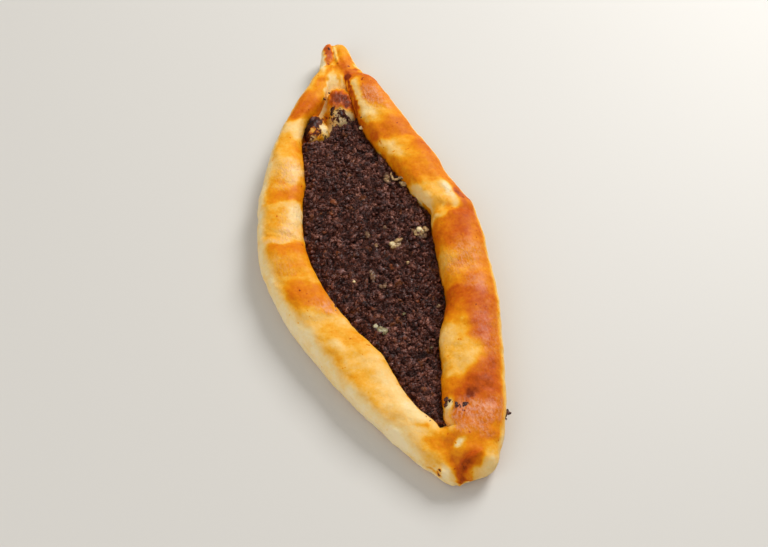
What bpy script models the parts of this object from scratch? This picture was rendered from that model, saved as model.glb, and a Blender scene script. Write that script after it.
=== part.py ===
"""Turkish pide: a boat of baked dough, its long edges folded in over a bed of minced meat.

Run with: blender --background --python part.py

The boat lies on its flat base with its length along Y and the origin under its middle.
Sizes below are in millimetres, and the meshes are made in metres.
"""

import math

import bmesh
import bpy
import numpy as np
from mathutils import Matrix, Vector
from mathutils.bvhtree import BVHTree

MM = 0.001

HALF = 148.5
BASE_THICKNESS = 5.0

# Outlines seen from above: (place along the boat, place across it).
LEFT_OUTER = [(-148.5, 1), (-144.5, 2.5), (-140, 0.5), (-133, -6), (-115.5, -18), (-95.5, -30.5),
              (-67.5, -44.5), (-35.5, -57), (-1.5, -62.5), (29.5, -58.5), (60.5, -48), (83.5, -37),
              (104.5, -22.3), (118.5, -11.2), (127.5, -4), (134.5, -1.2), (142, 1.2), (148.5, 1.5)]
RIGHT_OUTER = [(-148.5, 34), (-144.5, 32.5), (-137, 35.5), (-131.5, 38.5), (-122, 42.5), (-107.5, 46.5),
               (-81.5, 53), (-49.5, 59), (-19.5, 61.5), (2.5, 62.5), (16.5, 59), (26.5, 55), (46.5, 51),
               (74.5, 41.8), (92.5, 36.3), (106, 32.3), (113.5, 29.4), (118.5, 26.3), (122, 23.6),
               (128, 21.6), (139, 19.6), (148.5, 18)]
LEFT_INNER = [(-148.5, 12), (-121.5, 9.5), (-107.5, 0.5), (-93.5, -5), (-75.5, -9.5), (-61.5, -17),
              (-44.5, -25.5), (-21.5, -33), (2.5, -36), (28.5, -32.5), (46.5, -27.5), (74.5, -24),
              (84.3, -21.2), (89.3, -17.6), (93.5, -13.2), (99.5, -7.5), (106, -3.4), (116, 1.3),
              (126, 5.7), (138, 8.3), (148.5, 9)]
RIGHT_INNER = [(-148.5, 13.5), (-121.5, 11), (-107.5, 13), (-89.5, 17.5), (-73.5, 20.5), (-58.5, 27.5),
               (-47.5, 31), (-23.5, 33), (-1.5, 35), (7.5, 37), (18.5, 32), (46.5, 23), (72.5, 14.5),
               (86.5, 12.5), (114.5, 10.5), (128, 9.4), (138, 10.2), (148.5, 10.5)]

# Heights along the boat: the crests of the two rims, and the dough between them.
LEFT_CREST = [(-148.5, 9), (-141, 13.5), (-121, 17), (-83, 19), (-23, 20.5), (37, 20), (86, 19.5),
              (114, 19), (124, 18.3), (129, 17.4), (138, 18.4), (148.5, 18.2)]
RIGHT_CREST = [(-148.5, 15), (-141, 18.5), (-121, 20.5), (-83, 22), (-43, 23), (0, 23), (16.5, 21.5),
               (57, 20.5), (97, 20), (111, 19.5), (119, 17.5), (128, 18), (138, 17.2), (148.5, 15.2)]
VALLEY = [(-148.5, 9.5), (-141, 13.8), (-134, 16.6), (-127, 17.4), (-123.5, 15.5), (-120, 9),
          (-116.5, BASE_THICKNESS), (86, BASE_THICKNESS), (97, 8), (108, 11.5), (114, 14.8), (119, 17),
          (126, 17.2), (136, 16.2), (142, 15.6), (148.5, 13.5)]

# The rim's profile, as shares of its own width and height.
CREST_AT = 0.52
BULGE_AT = 0.40
FOOT_IN = 0.16
INNER_EDGE_AT = 0.42
ROUNDNESS = 0.86

# The last stretch at each tip closes as a rounded nose, and its underside lifts off the table.
TIP_ROUNDING = 9.0
TIP_POWER = 2.5
NOSE_HEIGHTS = (6.0, 8.5)
LIFT_STRETCH = 18.0
LEFT_LIFTS = (0.6, 2.5)
RIGHT_LIFTS = (5.0, 2.5)

BODY_STATIONS = 62
TIP_STATIONS = 4
LAST_TURN = 84
AROUND_RIM = 15
AROUND_WALL = 2
ACROSS_BASE = 7
ACROSS_VALLEY = 11


def through(points, at):
    """A smooth curve through (station, value) pairs that never swings past them, read at `at`."""
    station, value = np.array(points, float).T
    rise = np.diff(value) / np.diff(station)
    agree = rise[:-1] * rise[1:] > 0
    slope = np.concatenate([rise[:1], np.zeros(len(rise) - 1), rise[-1:]])
    total = np.where(agree, rise[:-1] + rise[1:], 1)
    slope[1:-1] = np.where(agree, 2 * rise[:-1] * rise[1:] / total, 0)
    i = np.clip(np.searchsorted(station, at) - 1, 0, len(station) - 2)
    span = station[i + 1] - station[i]
    t = np.clip((at - station[i]) / span, 0, 1)
    return ((2 * t**3 - 3 * t**2 + 1) * value[i] + (t**3 - 2 * t**2 + t) * span * slope[i]
            + (3 * t**2 - 2 * t**3) * value[i + 1] + (t**3 - t**2) * span * slope[i + 1])


def smooth_step(low, high, value):
    """0 below `low`, 1 above `high`, and an S-curve between."""
    t = np.clip((value - low) / (high - low), 0, 1)
    return t * t * (3 - 2 * t)


def hump(value, centre, spread):
    """A bell of height 1 round `centre`."""
    return np.exp(-((value - centre) / spread) ** 2)


def stations():
    """Places of the cross-sections: even along the boat, closer together in the rounded tips."""
    turn = np.radians(np.linspace(0, LAST_TURN, TIP_STATIONS + 1))[1:]
    into_tip = TIP_ROUNDING * np.sin(turn)
    body = np.linspace(TIP_ROUNDING - HALF, HALF - TIP_ROUNDING, BODY_STATIONS)
    return np.concatenate([(body[0] - into_tip)[::-1], body, body[-1] + into_tip])


def end_rounding(along):
    """The share of its full section that the boat keeps at each station: 1, and down to 0 at the tips."""
    into_tip = np.clip((np.abs(along) - (HALF - TIP_ROUNDING)) / TIP_ROUNDING, 0, 1)
    return (1 - into_tip**TIP_POWER) ** (1 / TIP_POWER)


def outlines(along):
    """Places across of the left outer, left inner, right inner and right outer edges."""
    return [through(points, along) for points in (LEFT_OUTER, LEFT_INNER, RIGHT_INNER, RIGHT_OUTER)]


def tip_lift(along, lifts):
    """How far the underside has risen off the table, given its rise at the near and far tip."""
    return np.where(along < 0, *lifts) * smooth_step(HALF - LIFT_STRETCH, HALF, np.abs(along)) ** 2


# The rims are puffed unevenly, and creased across where the soft dough was folded.
# Each crease: place along, half width along, depth, and how far it slants along from inside to outside.
LEFT_CREASES = [(129, 3.0, 2.2, 4.0), (8, 2.4, 1.5, 11.0), (-49.5, 5.0, 0.9, 6.0), (-100.5, 6.0, 1.0, -4.0)]
RIGHT_CREASES = [(118, 2.8, 2.6, 7.0), (62.5, 6.0, 0.9, 5.0), (2, 3.0, 1.8, -10.0), (-34.5, 6.0, 0.8, 4.0),
                 (-115.5, 5.0, 1.0, -5.0)]
# Each dent: place along, share of the rim's width from outside, half length, half share, depth.
LEFT_DENTS = [(96, 0.55, 9, 0.2, 0.7), (-66, 0.6, 12, 0.2, 0.7)]
RIGHT_DENTS = [(13, 0.5, 9, 0.16, 1.6), (-80, 0.78, 17, 0.16, 1.4), (-131, 0.5, 7, 0.2, 0.9)]
PUFF = 0.7


def rim_relief(along, share, creases, dents, phase):
    """Height that the rim's upper side gains or loses, in mm; share is 0 outside and 1 inside."""
    relief = PUFF * (np.sin(along / 11 + phase) * np.cos(share * 2.2 + along / 37)
                     + 0.6 * np.sin(along / 5.3 + 2.1 * phase + 3 * share))
    for place, half_width, depth, slant in creases:
        relief = relief - depth * hump(along, place + slant * (0.5 - share), half_width)
    for place, at_share, half_length, half_share, depth in dents:
        relief = relief - depth * hump(along, place, half_length) * hump(share, at_share, half_share)
    return relief


def rim_section(outer, inner, crest, valley, lift, relief_at):
    """One rim as rows of profile points, from its foot over the crest to the root of its inner wall.

    A quarter oval rises from the foot to the bulge, two superellipse quarters carry it over the
    crest to the inner edge, and a short upright wall drops to the dough between the rims.
    """
    angle = np.radians(np.linspace(-90, 180, AROUND_RIM))[None, :]
    crest, valley, lift = crest[:, None], valley[:, None], lift[:, None]
    bulge = lift + BULGE_AT * (crest - lift)
    inner_edge = valley + INNER_EDGE_AT * (crest - valley)
    cosine = np.abs(np.cos(angle)) ** ROUNDNESS
    sine = np.abs(np.sin(angle)) ** ROUNDNESS
    below = angle < 0
    inside = angle > math.pi / 2
    share = np.where(below, FOOT_IN * (1 - np.cos(angle)),
                     np.where(inside, CREST_AT + (1 - CREST_AT) * cosine, CREST_AT * (1 - cosine)))
    height = np.where(below, bulge + (bulge - lift) * np.sin(angle),
                      np.where(inside, inner_edge + (crest - inner_edge) * sine,
                               bulge + (crest - bulge) * sine))
    height = height + relief_at(share) * np.clip(np.sin(angle), 0, 1)
    down = np.linspace(1, 0, AROUND_WALL + 1)[None, 1:]
    wall = valley + down * (inner_edge - valley)
    share = np.concatenate([np.broadcast_to(share, height.shape), np.ones_like(wall)], axis=1)
    height = np.concatenate([height, wall], axis=1)
    across = outer[:, None] + share * (inner - outer)[:, None]
    return across, height


# Two blisters of the base dough stand up past the end of the meat:
# place along, place across, half length, half width, rise.
BLISTERS = [(98, 5.2, 12.0, 9.2, 8.0), (85.5, -14.0, 9.5, 8.0, 9.5)]


def blister_rise(along, across):
    """Height that the blisters add to the dough between the rims."""
    height = 0
    for place, side, half_length, half_width, rise in BLISTERS:
        away = ((along - place) / half_length) ** 2 + ((across - side) / half_width) ** 2
        height = height + rise * np.sqrt(np.clip(1 - away, 0, 1))
    return height


def boat_sections():
    """Every cross-section of the dough as a closed ring of points, from the near tip to the far one."""
    along = stations()
    left_outer, left_inner, right_inner, right_outer = outlines(along)
    y = along[:, None]
    valley = through(VALLEY, along)
    left_x, left_z = rim_section(left_outer, left_inner, through(LEFT_CREST, along), valley,
                                 tip_lift(along, LEFT_LIFTS),
                                 lambda share: rim_relief(y, share, LEFT_CREASES, LEFT_DENTS, 0.4))
    right_x, right_z = rim_section(right_outer, right_inner, through(RIGHT_CREST, along), valley,
                                   tip_lift(along, RIGHT_LIFTS),
                                   lambda share: rim_relief(y, share, RIGHT_CREASES, RIGHT_DENTS, 2.3))
    share = np.linspace(0, 1, ACROSS_BASE + 2)[None, 1:-1]
    base_x = left_x[:, :1] + share * (right_x[:, :1] - left_x[:, :1])
    base_z = left_z[:, :1] + share * (right_z[:, :1] - left_z[:, :1])
    share = np.linspace(0, 1, ACROSS_VALLEY + 2)[None, 1:-1]
    valley_x = right_inner[:, None] + share * (left_inner - right_inner)[:, None]
    valley_z = valley[:, None] + blister_rise(y, valley_x)
    x = np.concatenate([base_x, right_x, valley_x, left_x[:, ::-1]], axis=1)
    z = np.concatenate([base_z, right_z, valley_z, left_z[:, ::-1]], axis=1)
    nose_x = (left_outer + right_outer)[:, None] / 2
    kept = end_rounding(along)[:, None]
    x = nose_x + kept * (x - nose_x)
    nose_z = np.where(y < 0, *NOSE_HEIGHTS)
    z = nose_z + kept * (z - nose_z)
    return np.stack([x, np.broadcast_to(y, x.shape), z], axis=2)


def material(name, colour, roughness):
    """A plain finish."""
    made = bpy.data.materials.new(name)
    made.use_nodes = True
    shader = made.node_tree.nodes["Principled BSDF"]
    shader.inputs["Base Color"].default_value = (*colour, 1)
    shader.inputs["Roughness"].default_value = roughness
    shader.inputs["Metallic"].default_value = 0
    return made


def add_object(name, mesh, finish):
    mesh.materials.append(finish)
    made = bpy.data.objects.new(name, mesh)
    bpy.context.scene.collection.objects.link(made)
    return made


def with_outward_faces(mesh):
    edit = bmesh.new()
    edit.from_mesh(mesh)
    bmesh.ops.recalc_face_normals(edit, faces=edit.faces)
    edit.to_mesh(mesh)
    edit.free()
    mesh.shade_smooth()
    return mesh


def tube_mesh(name, rings):
    """A closed skin over rows of rings, with one flat face at each end."""
    rows, columns = rings.shape[:2]
    row, column = np.meshgrid(np.arange(rows - 1), np.arange(columns), indexing="ij")
    following = (column + 1) % columns
    quads = np.stack([row * columns + column, row * columns + following,
                      (row + 1) * columns + following, (row + 1) * columns + column], axis=2)
    faces = quads.reshape(-1, 4).tolist()
    faces.append(tuple(range(columns - 1, -1, -1)))
    faces.append(tuple(range((rows - 1) * columns, rows * columns)))
    mesh = bpy.data.meshes.new(name)
    mesh.from_pydata((rings.reshape(-1, 3) * MM).tolist(), [], faces)
    return with_outward_faces(mesh)


# The bed of mince: its grid, its level, and the gaps that keep it clear of the walls and the base.
BED_ROWS = 84
BED_COLUMNS = 26
BED_NEAR = -114.0
BED_GAP = 0.8
BED_CLEARANCE = 0.5
BED_LEVEL = 12.0
BED_EDGE_DROP = 2.2
GRAIN_HEIGHT = 0.75
# Where the bed ends at the far tip, from the left wall (0) to the right wall (1).
# It bends round the front of the blisters.
BED_FAR = [(0, 73.5), (0.3, 73), (0.47, 73.8), (0.55, 79), (0.61, 80.6), (0.68, 80.4), (0.84, 80.8), (1, 83)]


def bed_points(seed):
    """Points on the mince, row by row along the boat, with bumps the size of its grains."""
    dice = np.random.default_rng(seed)
    share_along, share_across = np.meshgrid(np.linspace(0, 1, BED_ROWS), np.linspace(0, 1, BED_COLUMNS),
                                            indexing="ij")
    far = through(BED_FAR, share_across)
    along = BED_NEAR + share_along * (far - BED_NEAR)
    _, left_inner, right_inner, _ = outlines(along)
    left, right = left_inner + BED_GAP, right_inner - BED_GAP
    across = left + share_across * (right - left)
    to_wall = np.minimum(across - left, right - across)
    to_end = np.minimum(along - BED_NEAR, far - along)
    edge = smooth_step(0, 7, np.minimum(to_wall, to_end))
    swell = 0.7 * np.sin(along / 17 + across / 23) + 0.5 * np.sin(across / 9 - along / 29)
    grain = GRAIN_HEIGHT * dice.uniform(-1, 1, along.shape)
    height = BED_LEVEL - BED_EDGE_DROP * (1 - edge) + (swell + grain) * edge
    return np.stack([across, along, height], axis=2)


def bed_mesh(name):
    """The mince as one solid: bumpy on top, a wall round its edge and a flat underside."""
    top = bed_points(seed=7)
    rows, columns = top.shape[:2]
    index = np.arange(rows * columns).reshape(rows, columns)
    quads = np.stack([index[:-1, :-1], index[:-1, 1:], index[1:, 1:], index[1:, :-1]], axis=2)
    faces = quads.reshape(-1, 4).tolist()
    rim = np.concatenate([index[0, :-1], index[:-1, -1], index[-1, :0:-1], index[:0:-1, 0]])
    points = top.reshape(-1, 3)
    under = points[rim].copy()
    under[:, 2] = BASE_THICKNESS + BED_CLEARANCE
    first = len(points)
    for k in range(len(rim)):
        after = (k + 1) % len(rim)
        faces.append((int(rim[after]), int(rim[k]), first + k, first + after))
    faces.append(tuple(first + k for k in range(len(rim))))
    mesh = bpy.data.meshes.new(name)
    mesh.from_pydata((np.concatenate([points, under]) * MM).tolist(), [], faces)
    return with_outward_faces(mesh)


# Pieces of onion, pepper and seed that lie on the mince:
# place across, place along, three half sizes, and the turn of the long one in degrees.
MINCE_PIECES = [(20.4, 38.5, 3.4, 1.5, 1.1, -35), (23.6, 34.0, 3.6, 1.6, 1.2, -55),
                (26.2, 29.0, 3.2, 1.5, 1.1, -70), (28.4, -3.0, 4.9, 3.9, 1.5, 70),
                (14.2, -8.0, 4.3, 2.9, 1.3, -20), (-8.4, -59.0, 3.4, 2.4, 1.2, 15),
                (-14.9, 27.7, 2.8, 2.2, 1.2, 80), (-16.8, 21.1, 2.6, 2.1, 1.2, 60),
                (-19.9, -4.6, 1.9, 1.6, 0.9, 30), (-2.9, -25.0, 5.2, 1.4, 1.0, 78),
                (0.2, -31.0, 3.0, 1.7, 1.0, -30), (-1.1, 3.8, 2.3, 1.9, 1.0, 40),
                (-14.5, -25.9, 1.6, 1.3, 0.9, 0), (25.4, -51.4, 2.2, 1.7, 1.0, 60),
                (9.8, 79.0, 2.2, 1.1, 0.8, 65)]
# Dark crumbs of mince stuck to the dough, given the same way.
DOUGH_CRUMBS = [(15.6, -108.0, 2.6, 1.8, 1.3, 60), (19.1, -112.6, 2.2, 1.1, 0.9, -10),
                (22.4, -113.6, 2.0, 1.0, 0.9, 10), (26.7, -108.8, 2.0, 1.6, 0.6, 20),
                (-0.8, 103.6, 1.5, 1.2, 0.7, 0), (-0.7, 95.4, 2.2, 1.3, 0.8, 30),
                (4.6, 91.9, 2.6, 1.4, 0.8, -30), (10.2, 93.4, 1.8, 1.2, 0.7, 40)]
# One more crumb clings to the outer side of the right rim, at this height.
SIDE_CRUMB = (44.0, -118.6, 9.0, 2.4, 1.3, 1.2, 0)
SUNK = 0.25


def lump_mesh(name, centre, half_sizes, turn, dice):
    """A small uneven oval, long side turned by `turn` degrees."""
    edit = bmesh.new()
    bmesh.ops.create_icosphere(edit, subdivisions=1, radius=1)
    for vertex in edit.verts:
        vertex.co *= dice.uniform(0.85, 1.1)
    place = Matrix.Translation(Vector(centre) * MM) @ Matrix.Rotation(math.radians(turn), 4, "Z")
    edit.transform(place @ Matrix.Diagonal((*(half * MM for half in half_sizes), 1)))
    mesh = bpy.data.meshes.new(name)
    edit.to_mesh(mesh)
    edit.free()
    return with_outward_faces(mesh)


def lumps_on(mesh, pieces, finish, seed):
    """One small object for each piece, its middle a little above the surface it lies on."""
    surface = BVHTree.FromPolygons([v.co for v in mesh.vertices], [p.vertices for p in mesh.polygons])
    dice = np.random.default_rng(seed)
    made = []
    for across, along, length, width, height, turn in pieces:
        found = surface.ray_cast(Vector((across, along, 2 * HALF)) * MM, Vector((0, 0, -1)))[0]
        centre = (across, along, found.z / MM + SUNK * height)
        lump = lump_mesh("lump", centre, (length, width, height), turn, dice)
        made.append(add_object("lump", lump, finish))
    return made


def keep_largest_shell(mesh):
    """Drop every closed skin but the largest: the small hollows sealed between joined pieces."""
    edit = bmesh.new()
    edit.from_mesh(mesh)
    unseen = set(edit.faces)
    shells = []
    while unseen:
        shell = [unseen.pop()]
        for face in shell:
            near = {other for edge in face.edges for other in edge.link_faces} & unseen
            unseen -= near
            shell.extend(near)
        shells.append(shell)
    shells.sort(key=len)
    bmesh.ops.delete(edit, geom=[face for shell in shells[:-1] for face in shell], context="FACES")
    edit.to_mesh(mesh)
    edit.free()


def fuse(body, pieces):
    """Join the pieces to the body as one solid, and remove them."""
    group = bpy.data.collections.new("pieces")
    for piece in pieces:
        group.objects.link(piece)
    union = body.modifiers.new("union", "BOOLEAN")
    union.operation = "UNION"
    union.operand_type = "COLLECTION"
    union.collection = group
    union.solver = "EXACT"
    bpy.context.view_layer.objects.active = body
    bpy.ops.object.modifier_apply(modifier=union.name)
    for piece in pieces:
        bpy.data.objects.remove(piece)
    bpy.data.collections.remove(group)
    keep_largest_shell(body.data)
    body.data.shade_smooth()


def clear_scene():
    for found in list(bpy.data.objects):
        bpy.data.objects.remove(found)


clear_scene()
crust_finish = material("baked_crust", (0.72, 0.42, 0.13), 0.45)
mince_finish = material("cooked_mince", (0.07, 0.04, 0.035), 0.6)

crust = add_object("crust", tube_mesh("crust", boat_sections()), crust_finish)
*side_place, side_length, side_width, side_height, side_turn = SIDE_CRUMB
side_mesh = lump_mesh("lump", side_place, (side_length, side_width, side_height), side_turn,
                      np.random.default_rng(3))
crumbs = lumps_on(crust.data, DOUGH_CRUMBS, crust_finish, seed=5)
fuse(crust, crumbs + [add_object("lump", side_mesh, crust_finish)])

mince = add_object("mince", bed_mesh("mince"), mince_finish)
fuse(mince, lumps_on(mince.data, MINCE_PIECES, mince_finish, seed=12))
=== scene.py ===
"""Turkish pide: a baked boat of dough, browned in patches, over a bed of dark minced meat."""

import math

import bpy
import numpy as np
from mathutils import Matrix


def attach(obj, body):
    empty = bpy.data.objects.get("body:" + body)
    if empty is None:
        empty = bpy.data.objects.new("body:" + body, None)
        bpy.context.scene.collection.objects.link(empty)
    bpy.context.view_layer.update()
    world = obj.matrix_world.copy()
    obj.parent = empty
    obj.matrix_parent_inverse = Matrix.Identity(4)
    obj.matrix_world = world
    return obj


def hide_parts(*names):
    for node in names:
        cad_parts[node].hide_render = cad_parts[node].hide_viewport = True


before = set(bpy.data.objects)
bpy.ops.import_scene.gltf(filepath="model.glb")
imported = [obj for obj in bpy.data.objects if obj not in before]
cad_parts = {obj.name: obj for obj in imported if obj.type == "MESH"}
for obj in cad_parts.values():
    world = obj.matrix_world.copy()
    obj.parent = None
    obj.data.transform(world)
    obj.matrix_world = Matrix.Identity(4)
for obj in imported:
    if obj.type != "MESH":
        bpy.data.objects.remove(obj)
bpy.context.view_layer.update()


# The boat of dough. One sheet of leavened dough, its long edges rolled in to rims and pinched to a
# tip at each end, brushed with egg and baked on a stone. It is made here as one closed skin, in
# millimetres, from the same outlines, crests and creases as the solid it stands for.
HALF = 148.5  # half its length
BASE_THICKNESS = 5.0
# The rims' outer and inner edges from above, then the heights of their crests and of the dough
# between them: pairs of a place along and a place across or a height.
LEFT_OUTER = [(-148.5, 1), (-144.5, 2.5), (-140, 0.5), (-133, -6), (-115.5, -18), (-95.5, -30.5),
              (-67.5, -44.5), (-35.5, -57), (-1.5, -62.5), (29.5, -58.5), (60.5, -48), (83.5, -37),
              (104.5, -22.3), (118.5, -11.2), (127.5, -4), (134.5, -1.2), (142, 1.2), (148.5, 1.5)]
RIGHT_OUTER = [(-148.5, 34), (-144.5, 32.5), (-137, 35.5), (-131.5, 38.5), (-122, 42.5), (-107.5, 46.5),
               (-81.5, 53), (-49.5, 59), (-19.5, 61.5), (2.5, 62.5), (16.5, 59), (26.5, 55), (46.5, 51),
               (74.5, 41.8), (92.5, 36.3), (106, 32.3), (113.5, 29.4), (118.5, 26.3), (122, 23.6),
               (128, 21.6), (139, 19.6), (148.5, 18)]
LEFT_INNER = [(-148.5, 12), (-121.5, 9.5), (-107.5, 0.5), (-93.5, -5), (-75.5, -9.5), (-61.5, -17),
              (-44.5, -25.5), (-21.5, -33), (2.5, -36), (28.5, -32.5), (46.5, -27.5), (74.5, -24),
              (84.3, -21.2), (89.3, -17.6), (93.5, -13.2), (99.5, -7.5), (106, -3.4), (116, 1.3),
              (126, 5.7), (138, 8.3), (148.5, 9)]
RIGHT_INNER = [(-148.5, 13.5), (-121.5, 11), (-107.5, 13), (-89.5, 17.5), (-73.5, 20.5), (-58.5, 27.5),
               (-47.5, 31), (-23.5, 33), (-1.5, 35), (7.5, 37), (18.5, 32), (46.5, 23), (72.5, 14.5),
               (86.5, 12.5), (114.5, 10.5), (128, 9.4), (138, 10.2), (148.5, 10.5)]
LEFT_CREST = [(-148.5, 9), (-141, 13.5), (-121, 17), (-83, 19), (-23, 20.5), (37, 20), (86, 19.5),
              (114, 19), (124, 18.3), (129, 17.4), (138, 18.4), (148.5, 18.2)]
RIGHT_CREST = [(-148.5, 15), (-141, 18.5), (-121, 20.5), (-83, 22), (-43, 23), (0, 23), (16.5, 21.5),
               (57, 20.5), (97, 20), (111, 19.5), (119, 17.5), (128, 18), (138, 17.2), (148.5, 15.2)]
VALLEY = [(-148.5, 9.5), (-141, 13.8), (-134, 16.6), (-127, 17.4), (-123.5, 15.5), (-120, 9),
          (-116.5, BASE_THICKNESS), (86, BASE_THICKNESS), (97, 8), (108, 11.5), (114, 14.8), (119, 17),
          (126, 17.2), (136, 16.2), (142, 15.6), (148.5, 13.5)]
TIP_ROUNDING = 9.0  # how far from its end a tip starts to close
LIFT_STRETCH = 18.0  # how far from its end a tip starts to lift off the stone
LEFT_LIFT, RIGHT_LIFT = (0.6, 2.5), (5.0, 2.5)  # how high the rims' feet lift, near end and far end


def through(points, at):
    """A smooth curve through (station, value) pairs, read at `at`.

    A cubic between each pair, whose slope at a pair is the harmonic mean of the slopes on its two
    sides, or 0 at a turning point, so the curve never swings past its pairs.
    """
    station, value = np.array(points, float).T
    rise = np.diff(value) / np.diff(station)
    agree = rise[:-1] * rise[1:] > 0
    slope = np.concatenate([rise[:1], np.zeros(len(rise) - 1), rise[-1:]])
    slope[1:-1] = np.where(agree, 2 * rise[:-1] * rise[1:] / np.where(agree, rise[:-1] + rise[1:], 1), 0)
    i = np.clip(np.searchsorted(station, at) - 1, 0, len(station) - 2)
    span = station[i + 1] - station[i]
    t = np.clip((at - station[i]) / span, 0, 1)
    return ((2 * t**3 - 3 * t**2 + 1) * value[i] + (t**3 - 2 * t**2 + t) * span * slope[i]
            + (3 * t**2 - 2 * t**3) * value[i + 1] + (t**3 - t**2) * span * slope[i + 1])


def smooth_step(low, high, value):
    """0 below `low`, 1 above `high`, and between them 3 t squared less 2 t cubed, a share t of the way."""
    t = np.clip((value - low) / (high - low), 0, 1)
    return t * t * (3 - 2 * t)


def hump(value, centre, spread):
    """A bell of height 1: e to the minus square of the distance in spreads."""
    return np.exp(-((value - centre) / spread) ** 2)


def waves(points, size, seed, count=14):
    """Soft random relief between about -1 and 1, with lumps of a size in millimetres.

    The sum of plane sine waves that run in random directions, each with a length near `size`.
    """
    dice = np.random.default_rng(seed)
    heading = dice.normal(size=(count, 3))
    heading /= np.linalg.norm(heading, axis=1)[:, None]
    pace = 2 * np.pi / (size * dice.uniform(0.7, 1.5, count))
    phase = dice.uniform(0, 2 * np.pi, count)
    return np.sin(points @ (heading * pace[:, None]).T + phase).sum(axis=-1) / math.sqrt(count)


def bells(along, share, patches, ground, start):
    """Patches of a value blended over a rim.

    The mean of the patches' values weighted by their bells, with the ground value weighing in
    where no bell reaches. Each patch: place along, share across, two half sizes, value.
    """
    total, weight = start * ground, ground
    for place, at_share, half_length, half_share, value in patches:
        bell = hump(along, place, half_length) * hump(share, at_share, half_share)
        total, weight = total + value * bell, weight + bell
    return total / weight


# Creases: place along, half width along, depth, slant along from inside to outside.
LEFT_CREASES = [
    (129, 3, 2.2, 4), (8, 2.4, 1.5, 11), (-49.5, 5, 0.9, 6), (-100.5, 6, 1, -4)]
RIGHT_CREASES = [
    (118, 2.8, 1.3, 7), (62.5, 6, 0.9, 5), (2, 3, 1.8, -10), (-34.5, 6, 0.8, 4), (-115.5, 5, 1, -5)]
# Dents: place along, share of the rim's width from outside, half length, half share, depth.
LEFT_DENTS = [(96, 0.55, 9, 0.2, 0.7), (-66, 0.6, 12, 0.2, 0.7)]
RIGHT_DENTS = [(13, 0.5, 9, 0.16, 1.6), (-80, 0.78, 17, 0.16, 1.4), (-131, 0.5, 7, 0.2, 0.9)]
# Blisters of the base dough: place along, place across, half length, half width, rise.
BLISTERS = [(98, 5.2, 12, 9.2, 8), (85.5, -14, 9.5, 8, 9.5)]


def rim_relief(along, share, creases, dents, phase):
    """Height gained or lost by a rim's top: two slow sines, less a bell for each crease and dent."""
    relief = 0.7 * (np.sin(along / 11 + phase) * np.cos(share * 2.2 + along / 37)
                    + 0.6 * np.sin(along / 5.3 + 2.1 * phase + 3 * share))
    for place, half_width, depth, slant in creases:
        relief = relief - depth * hump(along, place + slant * (0.5 - share), half_width)
    for place, at_share, half_length, half_share, depth in dents:
        relief = relief - depth * hump(along, place, half_length) * hump(share, at_share, half_share)
    return relief


BULGE_RISE, EDGE_RISE = 0.40, 0.42  # heights of the widest place and the inner edge, of the rim's 1
FOOT_SHARE, CREST_SHARE = 0.16, 0.52  # places of the foot and the crest across the rim's width of 1
SQUARENESS = 0.86  # the superellipse's power


def rim_section(along, outer, inner, crest, valley, lift, *relief):
    """A rim's profile at every station, as places across and heights.

    A quarter oval from the foot to the bulge, two superellipse quarters over the crest to the
    inner edge, and a wall that drops to the dough between the rims.
    """
    angle = np.radians(np.linspace(-90, 180, AROUND_RIM))[None, :]
    crest, valley, lift = crest[:, None], valley[:, None], lift[:, None]
    bulge = lift + BULGE_RISE * (crest - lift)
    inner_edge = valley + EDGE_RISE * (crest - valley)
    cosine, sine = np.abs(np.cos(angle)) ** SQUARENESS, np.abs(np.sin(angle)) ** SQUARENESS
    below, inside = angle < 0, angle > np.pi / 2
    share = np.where(below, FOOT_SHARE * (1 - np.cos(angle)),
                     np.where(inside, CREST_SHARE + (1 - CREST_SHARE) * cosine, CREST_SHARE * (1 - cosine)))
    height = np.where(below, bulge + (bulge - lift) * np.sin(angle),
                      np.where(inside, inner_edge + (crest - inner_edge) * sine,
                               bulge + (crest - bulge) * sine))
    height = height + rim_relief(along[:, None], share, *relief) * np.clip(np.sin(angle), 0, 1)
    down = np.linspace(1, 0, DOWN_WALL + 1)[None, 1:]
    wall = valley + down * (inner_edge - valley)
    share = np.concatenate([np.broadcast_to(share, height.shape), np.ones_like(wall)], axis=1)
    return outer[:, None] + share * (inner - outer)[:, None], np.concatenate([height, wall], axis=1)


def closed_tubes(name, *tubes):
    """One mesh of skins over rows of rings, each with a flat face at either end; in millimetres."""
    points, faces, first = [], [], 0
    for rings in tubes:
        rows, columns = rings.shape[:2]
        row, column = np.meshgrid(np.arange(rows - 1), np.arange(columns), indexing="ij")
        following = (column + 1) % columns
        quads = np.stack([row * columns + column, (row + 1) * columns + column,
                          (row + 1) * columns + following, row * columns + following], axis=2)
        faces += (first + quads.reshape(-1, 4)).tolist()
        faces.append(tuple(range(first, first + columns)))
        first += rows * columns
        faces.append(tuple(range(first - 1, first - columns - 1, -1)))
        points.append(rings.reshape(-1, 3) / 1000)
    mesh = bpy.data.meshes.new(name)
    mesh.from_pydata(np.concatenate(points).tolist(), [], faces)
    mesh.shade_smooth()
    return mesh


def paint(mesh, name, values):
    """Store one number for each vertex, for the material to read."""
    layer = mesh.attributes.new(name, "FLOAT", "POINT")
    layer.data.foreach_set("value", np.ascontiguousarray(values, np.float32).ravel())


def show(name, mesh, material, slot, *stands_for):
    """Put a mesh in the scene as a piece of the pide, in a finish, standing for solids if any."""
    piece = bpy.data.objects.new(name, mesh)
    bpy.context.scene.collection.objects.link(piece)
    mesh.materials.append(material)
    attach(piece, "root")
    if stands_for:
        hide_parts(*stands_for)


# Points around a rim, down its inner wall, across the base and between the rims, then rings along
# the pide and those of them that close each tip.
AROUND_RIM, DOWN_WALL, ACROSS_BASE, ACROSS_VALLEY = 92, 10, 12, 54
STATIONS, TIP_STATIONS = 350, 14

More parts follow.
